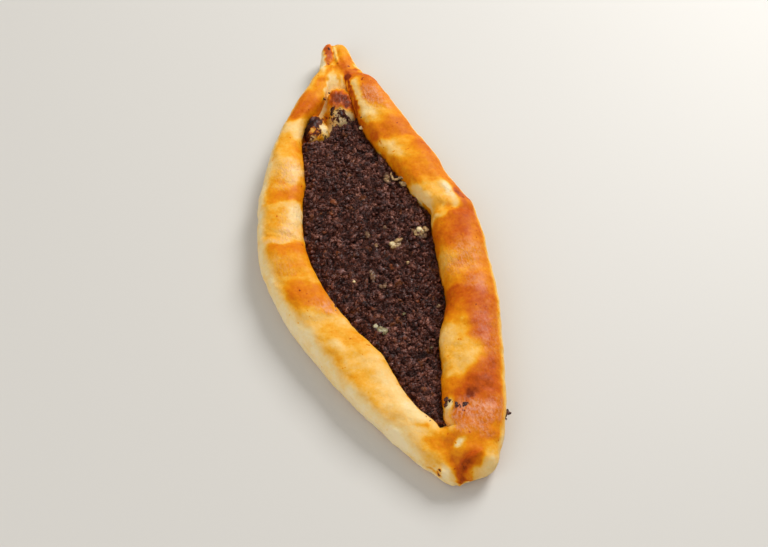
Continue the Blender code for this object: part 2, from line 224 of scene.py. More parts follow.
into_tip = np.sin(np.radians(np.linspace(4, 86, TIP_STATIONS)))
along = np.concatenate([-HALF + TIP_ROUNDING * (1 - into_tip[::-1]),
                        np.linspace(TIP_ROUNDING - HALF, HALF - TIP_ROUNDING, STATIONS - 2 * TIP_STATIONS),
                        HALF - TIP_ROUNDING * (1 - into_tip)])
y = along[:, None]
left_outer, left_inner, right_inner, right_outer = (
    through(points, along) for points in (LEFT_OUTER, LEFT_INNER, RIGHT_INNER, RIGHT_OUTER))
valley = through(VALLEY, along)
near_lift = smooth_step(HALF - LIFT_STRETCH, HALF, -along) ** 2
far_lift = smooth_step(HALF - LIFT_STRETCH, HALF, along) ** 2
left_x, left_z = rim_section(
    along, left_outer, left_inner, through(LEFT_CREST, along), valley,
    LEFT_LIFT[0] * near_lift + LEFT_LIFT[1] * far_lift, LEFT_CREASES, LEFT_DENTS, 0.4)
right_x, right_z = rim_section(
    along, right_outer, right_inner, through(RIGHT_CREST, along), valley,
    RIGHT_LIFT[0] * near_lift + RIGHT_LIFT[1] * far_lift, RIGHT_CREASES, RIGHT_DENTS, 2.3)
share = np.linspace(0, 1, ACROSS_BASE + 2)[None, 1:-1]
base_x = left_x[:, :1] + share * (right_x[:, :1] - left_x[:, :1])
base_z = left_z[:, :1] + share * (right_z[:, :1] - left_z[:, :1])
share = np.linspace(0, 1, ACROSS_VALLEY + 2)[None, 1:-1]
valley_x = right_inner[:, None] + share * (left_inner - right_inner)[:, None]
blister = 0
for place, side, half_length, half_width, rise in BLISTERS:
    away = ((y - place) / half_length) ** 2 + ((valley_x - side) / half_width) ** 2
    blister = blister + rise * np.sqrt(np.clip(1 - away, 0, 1))
valley_z = valley[:, None] + blister
x = np.concatenate([base_x, right_x, valley_x, left_x[:, ::-1]], axis=1)
z = np.concatenate([base_z, right_z, valley_z, left_z[:, ::-1]], axis=1)
first = ACROSS_BASE + AROUND_RIM + DOWN_WALL
valley_at = slice(first, first + ACROSS_VALLEY)

# At the tips the rims were pressed into each other. The points from crest to crest are laid out
# evenly there, each at the height of a cover: the mean of the heights beside it, weighted by a bell
# of the distance across, wide in the middle and narrow at the crests.
TO_CREST = 61  # points from a rim's foot to its crest
pressed = np.maximum(smooth_step(-115, -129, y) * (1 - 0.7 * smooth_step(-137, -143, y)),
                     smooth_step(111, 118, y) * (1 - 0.55 * smooth_step(127, 134, y)))
rows = np.flatnonzero(pressed[:, 0] > 0)
tops = slice(ACROSS_BASE + AROUND_RIM // 3, -AROUND_RIM // 3)
covered = slice(ACROSS_BASE + TO_CREST, -TO_CREST)
top_x, top_z = x[rows, None, tops], z[rows, None, tops]
share = np.linspace(0, 1, x[0, covered].size)[None, :]
laid_x = x[rows, covered][:, :1] + share * (x[rows, covered][:, -1:] - x[rows, covered][:, :1])
weight = hump(laid_x[:, :, None], top_x, 0.6 + 3.6 * np.sin(np.pi * share)[:, :, None])
weight = weight * np.abs(np.gradient(top_x, axis=2))
laid_z = (weight * top_z).sum(axis=2) / weight.sum(axis=2)
x[rows, covered] += (laid_x - x[rows, covered]) * pressed[rows]
z[rows, covered] += (laid_z - z[rows, covered]) * pressed[rows]

# Each tip closes round: its rings shrink towards a nose, and keep the share of their size that a
# superellipse of power 2.5 leaves them.
NEAR_NOSE, FAR_NOSE = 6.0, 8.5
kept = (1 - np.clip((np.abs(y) - (HALF - TIP_ROUNDING)) / TIP_ROUNDING, 0, 1) ** 2.5) ** 0.4
nose_x, nose_z = (left_outer + right_outer)[:, None] / 2, np.where(y < 0, NEAR_NOSE, FAR_NOSE)
rings = np.stack([nose_x + kept * (x - nose_x), np.broadcast_to(y, x.shape),
                  nose_z + kept * (z - nose_z)], axis=2)

# The last sharp steps of the tips are smoothed: each point of a ring moves towards the middle of
# its neighbours, many times over.
SMOOTHINGS = 30
joined = np.maximum(smooth_step(-117, -124, y), 0.8 * smooth_step(112, 120, y))
joined = joined * smooth_step(4, 9, rings[:, :, 2])
for _ in range(SMOOTHINGS):
    middle = (np.roll(rings, 1, axis=1) + np.roll(rings, -1, axis=1)) / 2
    rings = rings + (middle - rings) * joined[:, :, None]

# Folds where one layer of dough ends on another: depth, half width, and places across and along.
FOLDS = [
    (1.3, 1.1, [(23.5, -139.2), (17, -141), (12.8, -143.3), (11, -148)]),
    (0.8, 0.8, [(-4.4, -135.2), (1.2, -139), (5.8, -144.4), (8.3, -148)]),
    (0.7, 0.9, [(9.6, 126.5), (9.4, 133), (9.8, 144)]),
    (0.5, 0.8, [(13.4, 119.5), (19, 120.6), (25.1, 122.4)]),
    (0.5, 0.7, [(5.9, 126), (3.4, 127.2), (-2, 127.5)]), (0.8, 0.7, [(-38, 2.2), (-46, 6.5), (-55, 11)])]


def away_from(points, path):
    """Distance on the plan from points to a path of straight runs."""
    nearest = np.full(points.shape[:2], 1e9)
    for first, last in zip(np.array(path[:-1], float), np.array(path[1:], float)):
        run = last - first
        at = np.clip(((points[:, :, :2] - first) @ run) / (run @ run), 0, 1)
        gap = points[:, :, :2] - first - at[:, :, None] * run
        nearest = np.minimum(nearest, np.linalg.norm(gap, axis=2))
    return nearest


folded = np.zeros(rings.shape[:2])
for depth, half_width, path in FOLDS:
    folded += depth * hump(away_from(rings, path), 0, half_width)

# Small lumps and dimples stand out along the skin's own normals, and fade to nothing underneath.
# The blisters are rougher, with scabs and pits of two sizes.
run, turn = np.gradient(rings, axis=0), np.gradient(rings, axis=1)
outward = np.cross(turn, run)
outward /= np.linalg.norm(outward, axis=2)[:, :, None] + 1e-9
lumps = 0.26 * waves(rings, 13, 1) + 0.13 * waves(rings, 5, 2) + 0.05 * waves(rings, 2.2, 3) - folded
scabs = np.zeros(rings.shape[:2])
scabs[:, valley_at] = smooth_step(1, 4, blister)
lumps += scabs * (0.5 * waves(rings, 4.2, 4) + 0.28 * waves(rings, 1.9, 5))
rings = rings + outward * (lumps * smooth_step(0.4, 5, rings[:, :, 2]))[:, :, None]
rings[:, :, 2] = np.maximum(rings[:, :, 2], 0)

# The skin is drawn in to stay just inside the solid's box, and its far half is drawn out to reach
# the full length: half width, half length and height.
REACH = np.array([62.4, 148.4, 23.4])
rings *= np.minimum(1, REACH / np.abs(rings).max(axis=(0, 1)))
rings[:, :, 1] *= np.where(rings[:, :, 1] > 0, REACH[1] / rings[:, :, 1].max(), 1)

# How brown each patch of a rim is, from 0, cream, to 1, dark brown, with a few pale patches that are
# painted highlights: place along, share of the width from outside, two half sizes, browning.
LEFT_BROWNING_AND_HIGHLIGHTS = [
    (-143, 0.85, 4, 0.2, 0.9), (-145, 0.3, 4, 0.3, 0.15), (-137, 0.75, 3, 0.25, 0.6),
    (-131, 0.75, 3, 0.25, 0.7), (-133, 0.3, 4, 0.2, 0.35), (-122, 0.35, 5, 0.25, 0.15),
    (-124, 0.8, 4, 0.2, 0.3), (-120, 0.68, 1.5, 0.08, 0.7), (-108, 0.8, 8, 0.2, 0.02),
    (-110, 0.4, 7, 0.2, 0.24), (-99, 0.5, 5, 0.2, 0.32), (-94, 0.78, 8, 0.15, 0.12),
    (-87, 0.45, 4, 0.3, 0.44), (-80, 0.78, 8, 0.15, 0.2), (-77, 0.45, 4, 0.2, 0.35),
    (-67, 0.7, 4, 0.2, 0.42), (-69, 0.4, 3, 0.12, 0.14), (-61, 0.55, 4, 0.2, 0.46),
    (-55, 0.28, 4, 0.1, 0.08), (-54, 0.8, 3, 0.2, 0.38), (-50, 0.55, 4, 0.35, 0.24),
    (-44, 0.6, 2.5, 0.35, 0.4), (-40.5, 0.72, 3, 0.15, 0.62), (-31, 0.55, 6, 0.35, 0.67),
    (-21.5, 0.5, 2.5, 0.4, 0.42), (-17, 0.78, 4, 0.2, 0.52), (-12, 0.4, 5, 0.3, 0.5),
    # (19, 0.85) is a pale patch that stands for a painted highlight on the egg wash.
    (-1, 0.5, 4, 0.5, 0.65), (5.5, 0.7, 2, 0.3, 0.22), (9, 0.6, 3, 0.3, 0.3), (19, 0.85, 7, 0.15, 0.06),
    (17, 0.5, 5, 0.2, 0.45), (22, 0.3, 4, 0.15, 0.42), (27, 0.6, 3, 0.3, 0.32), (36, 0.68, 5, 0.25, 0.7),
    (36, 0.4, 6, 0.18, 0.56), (48, 0.78, 4, 0.2, 0.22), (52, 0.6, 3, 0.15, 0.42), (57, 0.42, 6, 0.25, 0.28),
    (62, 0.75, 2.5, 0.25, 0.5), (69, 0.8, 4, 0.2, 0.58), (71, 0.5, 4, 0.25, 0.44),
    (82, 0.65, 4.5, 0.35, 0.1), (97, 0.62, 6, 0.35, 0.76), (105, 0.4, 5, 0.3, 0.78),
    (107, 0.8, 4, 0.25, 0.52), (115, 0.8, 5, 0.3, 0.66), (117, 0.35, 5, 0.2, 0.35),
    (124, 0.75, 3, 0.3, 0.32), (129, 0.85, 2.5, 0.2, 0.45), (131, 0.2, 5, 0.2, 0.03),
    (135, 0.65, 3, 0.3, 0.98), (141, 0.65, 4, 0.35, 0.8)]
RIGHT_BROWNING_AND_HIGHLIGHTS = [
    (-147, 0.4, 3, 0.4, 0.2), (-141, 0.65, 2.5, 0.25, 0.82), (-145, 0.92, 3, 0.1, 0.66),
    # (-131.5, 0.88) is a pale patch that stands for a painted highlight.
    (-136, 0.25, 6, 0.2, 0.34), (-136, 0.85, 3, 0.2, 0.5), (-131.5, 0.88, 2, 0.08, 0.05),
    (-131, 0.5, 4, 0.25, 0.6), (-121, 0.55, 7, 0.35, 0.72), (-118, 0.94, 7, 0.08, 0.08),
    (-106, 0.5, 6, 0.32, 0.84), (-103, 0.86, 4, 0.1, 0.6), (-99, 0.3, 7, 0.18, 0.86),
    (-87, 0.7, 8, 0.26, 0.27), (-73, 0.84, 8, 0.16, 0.24), (-80, 0.3, 13, 0.14, 0.84),
    (-85, 0.14, 14, 0.1, 0.62), (-57, 0.5, 6, 0.4, 0.82), (-62, 0.84, 4, 0.14, 0.62),
    (-50, 0.8, 4, 0.2, 0.84), (-45, 0.4, 4, 0.25, 0.68), (-40, 0.75, 4, 0.18, 0.52),
    (-30, 0.55, 6, 0.3, 0.58), (-28, 0.88, 5, 0.12, 0.3), (-12, 0.5, 7, 0.4, 0.84),
    (-9, 0.86, 5, 0.12, 0.66), (-3, 0.3, 4, 0.14, 0.88), (-30, 0.18, 20, 0.1, 0.6),
    # (14, 0.43), paler than cream, is a painted highlight in the dent.
    (18, 0.93, 9, 0.08, 0.06), (14, 0.7, 8, 0.1, 0.34), (14, 0.43, 8, 0.09, -0.2),
    (12, 0.26, 4.5, 0.12, 0.92), (1, 0.84, 2.2, 0.14, 0.26), (22, 0.6, 4, 0.12, 0.3),
    (27, 0.6, 4, 0.3, 0.6), (38, 0.6, 6, 0.35, 0.59), (32, 0.95, 9, 0.05, 0.75), (54, 0.78, 5, 0.16, 0.16),
    (48, 0.6, 3, 0.25, 0.46), (58, 0.45, 3, 0.2, 0.4), (68, 0.55, 5, 0.35, 0.7), (66, 0.95, 9, 0.06, 0.8),
    (51, 0.22, 8, 0.16, 0.76), (82, 0.82, 6, 0.16, 0.06), (93, 0.84, 6, 0.1, 0.12), (80, 0.5, 4, 0.2, 0.46),
    (94, 0.5, 6, 0.18, 0.68), (86, 0.25, 8, 0.15, 0.55), (103, 0.8, 4, 0.16, 0.16),
    (110.5, 0.77, 4.5, 0.16, 0.12), (108, 0.42, 5, 0.2, 0.74), (117.5, 0.7, 3, 0.3, 0.8),
    (122, 0.5, 2.5, 0.35, 0.4), (123, 0.12, 4, 0.14, 0), (129, 0.7, 4, 0.3, 0.64), (137, 0.7, 5, 0.3, 0.5),
    (143, 0.8, 3, 0.3, 0.34)]
# Where the wash of egg lies thick and wrinkled, given the same way; there the coat is glossier and
# a pinkish painted sheen is mixed into the colour.
LEFT_WASH_AND_SHEEN = [
    (8, 0.6, 3, 0.3, 1), (-41, 0.7, 4, 0.2, 0.8), (-13, 0.4, 6, 0.25, 0.5), (50, 0.7, 6, 0.25, 0.9),
    (135, 0.6, 4, 0.3, 0.6), (19, 0.8, 7, 0.2, 0.7)]
RIGHT_WASH_AND_SHEEN = [
    (-119.2, 0.53, 5.4, 0.32, 1), (-80, 0.3, 15, 0.16, 0.55), (-30, 0.52, 7, 0.3, 0.75),
    (93, 0.5, 7, 0.22, 0.9), (-48, 0.4, 5, 0.2, 0.6), (13, 0.5, 6, 0.2, 0.6)]

# Each point's share of either rim's width, from its place across. The patches' edges wander, as
# baked ones do: they are read at places pushed about by soft waves. Where the rims are pressed
# together the two rims' colours meet in the middle.
right_share = np.clip((right_outer[:, None] - x) / (right_outer - right_inner)[:, None], 0, 1)
left_share = np.clip((x - left_outer[:, None]) / (left_inner - left_outer)[:, None], 0, 1)
here_y = y + 2.6 * waves(rings, 22, 11) + 1.3 * waves(rings, 7, 12)
push = 0.05 * waves(rings, 20, 13) + 0.03 * waves(rings, 6, 14)
left_brown_and_highlights = bells(here_y, left_share + push, LEFT_BROWNING_AND_HIGHLIGHTS, 0.2, 0.5)
# The rims' outer sides, away from the fire, stayed paler.
flank = 0.07 + 0.05 * waves(rings, 24, 24) + 0.05 * waves(rings, 9, 25)
left_brown_and_highlights += (flank - left_brown_and_highlights) * (1 - smooth_step(0.04, 0.3, left_share))
right_brown_and_highlights = bells(here_y, right_share + push, RIGHT_BROWNING_AND_HIGHLIGHTS, 0.2, 0.64)
right_brown_and_highlights += (0.18 + flank - right_brown_and_highlights) * (1 - smooth_step(0.0, 0.12, right_share))
seam = (left_inner + right_inner)[:, None] / 2
to_left = smooth_step(2, -2, x - seam)
brown = right_brown_and_highlights + (left_brown_and_highlights - right_brown_and_highlights) * to_left
right_wash_and_sheen, left_wash_and_sheen = (bells(here_y, at + push, patches, 0.25, 0.1)
                         for at, patches in ((right_share, RIGHT_WASH_AND_SHEEN), (left_share, LEFT_WASH_AND_SHEEN)))
wash = right_wash_and_sheen + (left_wash_and_sheen - right_wash_and_sheen) * to_left

# The dough between the rims is pale and unwashed, but browner in blotches below the meat's level,
# up the rims' inner walls too, and the blisters have a little wash.
open_dough = 1 - np.maximum(smooth_step(-117, -121, y), smooth_step(114, 121, y))
brown[:, valley_at] += (0.11 - brown[:, valley_at]) * open_dough
inner_share = np.where(x < seam, left_share, right_share)
browner_below_meat_level = smooth_step(0.9, 0.97, inner_share) * smooth_step(14.2, 12.8, rings[:, :, 2])
browner_below_meat_level = browner_below_meat_level * open_dough * (y < 84) * smooth_step(-0.4, 0.5, waves(rings, 7, 29))
brown += (0.68 - brown) * 0.75 * browner_below_meat_level
# The blisters' little wash also paints a faint pinkish sheen into their colour.
wash[:, valley_at] += (0.45 * smooth_step(3, 8, blister) - wash[:, valley_at]) * open_dough

# The foot browned against the stone, and the underside is mottled.
foot = 1 - smooth_step(0.8, 3.2, rings[:, :, 2] + 0.5 * waves(rings, 11, 26))
brown += (0.46 - brown) * foot * 0.8
underside = 0.5 + 0.12 * waves(rings, 17, 27) + 0.08 * waves(rings, 6, 28)
brown[:, :ACROSS_BASE] = underside[:, :ACROSS_BASE]
wash[:, :ACROSS_BASE] = 0

# Marks seen from above, at the tips: place across and along, half length, half width, turn of the
# length from across in degrees, browning (a few pale marks are painted highlights), and how strongly it
# covers.
TIP_MARKS = [
    (6, -127, 6, 4.5, 0, 0.55, 0.8), (12, -129, 7, 4, 0, 0.7, 0.9), (1, -134, 6, 4, -20, 0.42, 0.7),
    # (14.6, -131.6) is a pale mark that stands for a painted highlight on a bump.
    (22, -128, 6, 5, 20, 0.6, 0.8), (14.6, -131.6, 2.8, 1.4, 25, 0.02, 0.9),
    (27, -144.5, 6, 3.5, 30, 0.14, 1), (3, -143.5, 5.5, 3, 25, 0.06, 1), (20, -138.8, 4.4, 2.2, 15, 0.8, 1),
    (15, -141.5, 4.2, 2.2, 25, 0.92, 1), (12, -146, 4, 1.8, 80, 0.84, 1),
    (-0.5, -138.6, 3.2, 0.8, -38, 0.6, 0.8), (2.7, -140.8, 0.9, 0.8, 0, 1.1, 1),
    (5, 137.5, 6, 2.5, 82, 0.88, 1), (6.5, 131, 2.2, 1.4, 80, 0.72, 0.9), (0.4, 132, 9, 1.7, 84, 0, 1),
    # (9.4, 136) is a pale mark along the crease between the far lobes, a painted highlight.
    (9.4, 136, 8, 1.5, 88, 0.2, 0.9), (14.5, 137, 7, 3.2, 85, 0.52, 0.9),
    (19.5, 134, 9, 1.2, 105, 0.15, 0.9), (10.5, 123.5, 4.5, 3.2, 0, 0.78, 0.9),
    # (6.2, 128) is a pale mark where the left rim's fold begins, a painted highlight.
    (6.6, 124, 3.6, 3, 0, 0.64, 0.9), (17, 120.5, 6, 1.2, 15, 0.78, 0.8), (6.2, 128, 1.8, 1, 80, 0.2, 0.6),
    # (0.2, 112) is a pale mark along the left rim's inner ridge, a painted highlight.
    (6.6, 113.5, 5, 4, 85, 0.1, 1), (7.6, 116.5, 4, 1.1, 85, 0.48, 0.9), (0.2, 112, 9, 1.3, 66, 0.08, 0.9),
    (12.4, 108, 9, 1, 88, 0.94, 1), (12.9, 92, 9, 1.1, 88, 0.88, 1), (14, 79, 6, 1, 110, 0.74, 0.9),
    (12.6, 115.4, 2.2, 3, -20, 1.08, 1), (15.2, -110.2, 2.6, 1.7, 60, 0.04, 0.9),
    (26.7, -108.8, 3, 2, 20, 1.05, 0.9)]
# Char at the tips and on the right rim, given the same way, with its strength: burgundy where it
# is weak and nearly black where it is strong.
TIP_CHAR = [
    (12.4, 115.8, 1.4, 1.8, 0, 0.26), (15, -141.8, 3, 1.2, 25, 0.2), (26.7, -108.8, 2, 1.4, 20, 0.24),
    (2.7, -140.8, 0.8, 0.7, 0, 0.8), (6.2, 140.2, 0.7, 0.6, 0, 0.7), (3.8, 137, 0.6, 0.6, 0, 0.6),
    (9.5, 141.5, 0.6, 0.5, 0, 0.6)]
# The same for the dough between the rims, with its two blisters.
BLISTER_MARKS = [
    (4.6, 100, 8, 8, 0, 0.86, 1), (3.2, 90.3, 8.5, 3.4, -8, 0.03, 1), (-2.8, 94.5, 1.6, 4, 10, 0.14, 1),
    (2, 102.5, 4, 2.4, 30, 0.86, 1), (10.8, 102.6, 3, 2.4, -20, 0.6, 1), (12.3, 96, 6, 1.2, 85, 0.66, 1),
    (6.8, 98.2, 6, 3.6, -45, 1.08, 1), (1.5, 95.2, 3.5, 1.1, 15, 0.66, 0.9),
    (2.9, 92.7, 3, 0.9, -20, 0.12, 0.9), (-12.5, 84.5, 9, 6.5, 60, 0.6, 1),
    (-14.5, 87.2, 7.5, 4.8, 35, 1.1, 1), (-19.6, 83.6, 4.2, 2.8, 60, 1.1, 1),
    (-6.6, 94.2, 3.4, 2, 35, 0.88, 1), (-9.7, 90.2, 3, 1.6, 20, 0.9, 0.9),
    (-16.4, 81.8, 2.6, 0.9, 20, 0.34, 1), (-12.6, 80.9, 1.7, 1.1, 0, 0.4, 1), (-9, 83, 2, 4.4, 0, 0.06, 1),
    (-15.8, 80, 3, 1, 0, 0.98, 1), (-18, 78.6, 4, 0.9, 0, 0.12, 1), (-6.8, 99.6, 7, 2.2, 61, 0.12, 1)]
BLISTER_CHAR = [
    (6.4, 98.4, 6, 3.6, -45, 0.3), (2.5, 91.2, 7.5, 3.4, -8, 0.35), (-1.1, 95, 1.3, 0.9, 0, 0.9),
    (4, 90.8, 2.2, 1.2, -20, 0.74), (5.9, 89.1, 1.6, 1.1, -30, 0.74), (-1.9, 91.8, 1.2, 0.8, 0, 0.8),
    (7.6, 87.8, 1.1, 0.8, 0, 0.9), (0.8, 88.6, 1, 0.7, 0, 0.8), (9.1, 89.8, 1.4, 1.1, 0, 0),
    (-0.6, 92.9, 1.3, 0.9, 0, 0), (-12.5, 83.5, 7, 5, 60, 0.44), (-14.6, 87.4, 7.2, 4.4, 35, 0.72),
    (-18.6, 83.2, 4.4, 3.2, 60, 0.78), (-6.6, 94.2, 3, 1.6, 35, 0.3), (-16.4, 81.8, 2.3, 0.8, 20, 0),
    (-9.3, 83.5, 1.4, 2.6, 0, 0.12), (-15.8, 80, 2.4, 0.9, 0, 0.4)]


def mark_at(points, across, along, half_length, half_width, turn):
    """How far a mark covers points on the plan, from 0 to 1: a turned bell with its top cut flat.

    1.35 times e to the minus square of the distance in half sizes, and 1 where that is more.
    """
    angle = math.radians(turn)
    aside, ahead = points[:, :, 0] - across, points[:, :, 1] - along
    bell = (hump(aside * math.cos(angle) + ahead * math.sin(angle), 0, half_length)
            * hump(ahead * math.cos(angle) - aside * math.sin(angle), 0, half_width))
    return np.minimum(1, 1.35 * bell)


above = smooth_step(3, 8, rings[:, :, 2])
above[:, :ACROSS_BASE] = 0
between_rims = np.zeros(rings.shape[:2])
between_rims[:, valley_at] = 1
pushed = rings[:, :, :2] + np.stack([0.5 * waves(rings, 3.5, 19), 0.5 * waves(rings, 3.5, 20)], axis=2)
char = np.zeros(rings.shape[:2])
for marks, burns, where in ((TIP_MARKS, TIP_CHAR, above),
                            (BLISTER_MARKS, BLISTER_CHAR, above * between_rims)):
    for *place, level, cover in marks:
        brown += (level - brown) * mark_at(pushed, *place) * cover * where
    for *place, strength in burns:
        char += (strength - char) * mark_at(pushed, *place) * where

dough = closed_tubes("crust_skin", rings)
paint(dough, "brown", brown)
paint(dough, "wash", wash)
paint(dough, "char", char)


class Value:
    """A socket of a material. Sums, differences and products of values add their Math nodes."""

    def __init__(self, tree, socket=None):
        self.tree, self.socket = tree, socket

    def node(self, kind, settings=None, inputs=None, output=0):
        """A new node: its settings first, then its inputs by name or number; returns one output."""
        made = self.tree.nodes.new(kind)
        for name, value in (settings or {}).items():
            if name == "stops":
                ramp = made.color_ramp.elements
                while len(ramp) < len(value):
                    ramp.new(1)
                for element, (position, colour) in zip(ramp, value):
                    element.position = position
                    element.color = (*colour, 1)
            else:
                setattr(made, name, value)
        for key, value in (inputs or {}).items():
            if isinstance(value, Value):
                self.tree.links.new(value.socket, made.inputs[key])
            else:
                made.inputs[key].default_value = value
        return Value(self.tree, made.outputs[output])

    def math(self, operation, first, second=0.0):
        return self.node("ShaderNodeMath", {"operation": operation}, {0: first, 1: second})

    def __add__(self, other):
        return self.math("ADD", self, other)

    def __sub__(self, other):
        return self.math("SUBTRACT", self, other)

    def __rsub__(self, other):
        return self.math("SUBTRACT", other, self)

    def __mul__(self, other):
        return self.math("MULTIPLY", self, other)

    __radd__, __rmul__ = __add__, __mul__

    def between(self, low, high):
        """0 below low, 1 above high, and a smooth rise between."""
        return self.node("ShaderNodeMapRange", {"interpolation_type": "SMOOTHSTEP"},
                         {"Value": self, "From Min": low, "From Max": high})

    def mixed(self, first, second):
        """The first colour where this value is 0, the second where it is 1."""
        return self.node("ShaderNodeMix", {"data_type": "RGBA"}, {0: self, 6: first, 7: second}, 2)

    def coloured(self, stops):
        """The colour at this value between stops, each a value and a colour."""
        return self.node("ShaderNodeValToRGB", {"stops": stops}, {0: self})

    def raised(self, strength, metres):
        """The directions of a surface that has this value as its relief."""
        return self.node("ShaderNodeBump", None, {"Strength": strength, "Distance": metres, "Height": self})

    def noise(self, size, detail=2.0, roughness=0.5, stretch=(1, 1, 1)):
        """Cloudy noise from 0 to 1 whose blots are `size` millimetres across, on the piece's own place."""
        place = self.node("ShaderNodeTexCoord", output=3)
        scale = [1000 / size * along_axis for along_axis in stretch]
        place = self.node("ShaderNodeMapping", inputs={"Vector": place, "Scale": scale})
        return self.node("ShaderNodeTexNoise", inputs={"Vector": place, "Scale": 1.0, "Detail": detail,
                                                       "Roughness": roughness})

    def drift(self, amount, *noise):
        """Cloudy noise around 0 that spans `amount`."""
        return (self.noise(*noise) - 0.5) * amount

    def painted(self, name):
        """A number stored on the mesh."""
        return self.node("ShaderNodeAttribute", {"attribute_name": name}, output=2)


def finish_of(name, **fixed):
    """A new material with a Principled shader; `fixed` gives the inputs that are the same all over."""
    material = bpy.data.materials.new(name)
    material.use_nodes = True
    shader = material.node_tree.nodes["Principled BSDF"]
    for key, value in fixed.items():
        shader.inputs[key.replace("_", " ").title().replace("Ior", "IOR")].default_value = value
    return material, shader, Value(material.node_tree)


def wire(shader, value, key):
    """Join a value to one input of a shader."""
    shader.id_data.links.new(value.socket, shader.inputs[key])


# The finish of the dough: cream where it stayed pale, through gold and orange to dark brown, with
# small darker flecks, burnt crowns on the blisters, and where the wash lies thick a wrinkled glossy
# coat and a painted pinkish sheen mixed into the colour.
BAKED_COLOURS = [(0, (0.86, 0.69, 0.4)), (0.13, (0.86, 0.62, 0.27)), (0.27, (0.85, 0.51, 0.145)),
                 (0.4, (0.83, 0.405, 0.04)), (0.5, (0.78, 0.29, 0.003)), (0.6, (0.71, 0.205, 0)),
                 (0.8, (0.52, 0.085, 0)), (1, (0.2, 0.024, 0))]
BURNT_COLOURS = [(0, (0.28, 0.06, 0.016)), (0.4, (0.11, 0.024, 0.012)), (1, (0.012, 0.005, 0.005))]
PAINTED_SHEEN = (0.74, 0.4, 0.28, 1)
crust_finish, shader, make = finish_of("baked_crust", subsurface_weight=0.04, subsurface_scale=0.003,
                                       specular_ior_level=0.09, coat_roughness=0.32)
shader.inputs["Subsurface Radius"].default_value = (1.0, 0.4, 0.05)
wash_and_sheen_here, char_here = make.painted("wash"), make.painted("char")
browning_and_highlights = make.painted("brown") + make.drift(0.2, 15, 3) + make.drift(0.24, 4, 4, 0.6)
browning_and_highlights = browning_and_highlights + make.drift(0.16, 6, 3, 0.6, (0.3, 1, 0.6)) + make.drift(0.16, 1.5, 2)
fleck = make.noise(2.4, 1, 0.4).between(0.70, 0.76) * make.noise(14, 1).between(0.5, 0.6)
colour = (browning_and_highlights + fleck * 0.3).coloured(BAKED_COLOURS)
# Painted sheen: a pinkish colour, standing for a reflection, mixed in where the wash lies thick.
painted_sheen = wash_and_sheen_here.between(0.15, 0.9) * make.noise(1.3, 3, 0.65, (1, 0.6, 1)).between(0.38, 0.66) * 0.5
colour = painted_sheen.mixed(colour, PAINTED_SHEEN)
burnt = (char_here * 1.15 + make.drift(0.9, 3, 4, 0.65)).coloured(BURNT_COLOURS)
scorched = (char_here + make.drift(1.4, 1.5, 4, 0.7)).between(0.25, 0.46) * char_here.between(0.04, 0.14)
wire(shader, scorched.mixed(colour, burnt), "Base Color")
wire(shader, 0.55 - wash_and_sheen_here * 0.12 + make.drift(0.15, 3, 2), "Roughness")
wire(shader, wash_and_sheen_here * 0.3, "Coat Weight")
wrinkles = make.noise(1.1, 2, 0.6, (1, 0.55, 1)) * wash_and_sheen_here * 2.2
relief = wrinkles + make.noise(0.5, 3, 0.7) * 0.35 + make.noise(3.5, 3)
wire(shader, relief.raised(0.7, 0.0007), "Normal")
show("crust_skin", dough, crust_finish, "crust", "crust")


# The bed of mince. Fried minced meat, dark and crumbly, spread over the dough between the rims.
# A low core of the same colour lies under loose grains, each a small uneven lump of its own.
BED_NEAR = -117
# The bed's far edge, as pairs of a share of its width and a place along.
BED_FAR = [(0, 75.5), (0.3, 75.2), (0.45, 77), (0.53, 85), (0.6, 85.8), (0.68, 84.2), (0.84, 85), (1, 88)]
BED_LEVEL = 12.0
BED_HEAPS = [(0.35, 9, 22), (0.6, 4.6, 23), (0.3, 2.7, 24)]  # rise, length and seed
CORE_BELOW, CORE_EDGE_DROP = 1.5, 1.4  # how far the core lies under the level, and more at its edge
CORE_INSET, LOOSE_INSET = 0.3, 0.7  # how far the core and the loose grains stay off the bed's edge
LOOSE_EDGE_DROP = 1.3  # how much lower the loose grains lie at the edge


def bed_level(across, along):
    """Height of the mince's top: a level with two slow swells, both sines, and soft random heaps."""
    flat = np.stack([across, along, 0 * along], axis=-1)
    level = BED_LEVEL + (0.7 * np.sin(along / 17 + across / 23) + 0.5 * np.sin(across / 9 - along / 29))
    for rise, size, seed in BED_HEAPS:
        level = level + rise * waves(flat, size, seed)
    return level


def on_bed(share_along, share_across, gap):
    """The place across, the place along and the distance to the bed's edge, for shares of the bed."""
    far = through(BED_FAR, share_across)
    along = BED_NEAR + share_along * (far - BED_NEAR)
    left, right = through(LEFT_INNER, along) + gap, through(RIGHT_INNER, along) - gap
    across = left + share_across * (right - left)
    to_side, to_end = np.minimum(across - left, right - across), np.minimum(along - BED_NEAR, far - along)
    return across, along, np.minimum(to_side, to_end)


core_shares = np.meshgrid(np.linspace(0, 1, 360), np.linspace(0, 1, 118), indexing="ij")
core_x, core_y, to_edge = on_bed(*core_shares, CORE_INSET)
core_top = bed_level(core_x, core_y) - CORE_BELOW - CORE_EDGE_DROP * (1 - smooth_step(0, 6, to_edge))
core_top += 0.35 * waves(np.stack([core_x, core_y, core_top], axis=2), 1.7, 21)
core_points = np.stack([core_x, core_y, core_top], axis=2)
core_under = core_points.copy()
core_under[:, :, 2] = BASE_THICKNESS + 0.3
core_rings = np.concatenate([core_points, core_under[:, ::-1]], axis=1)[::-1]
core = closed_tubes("mince_core", core_rings)


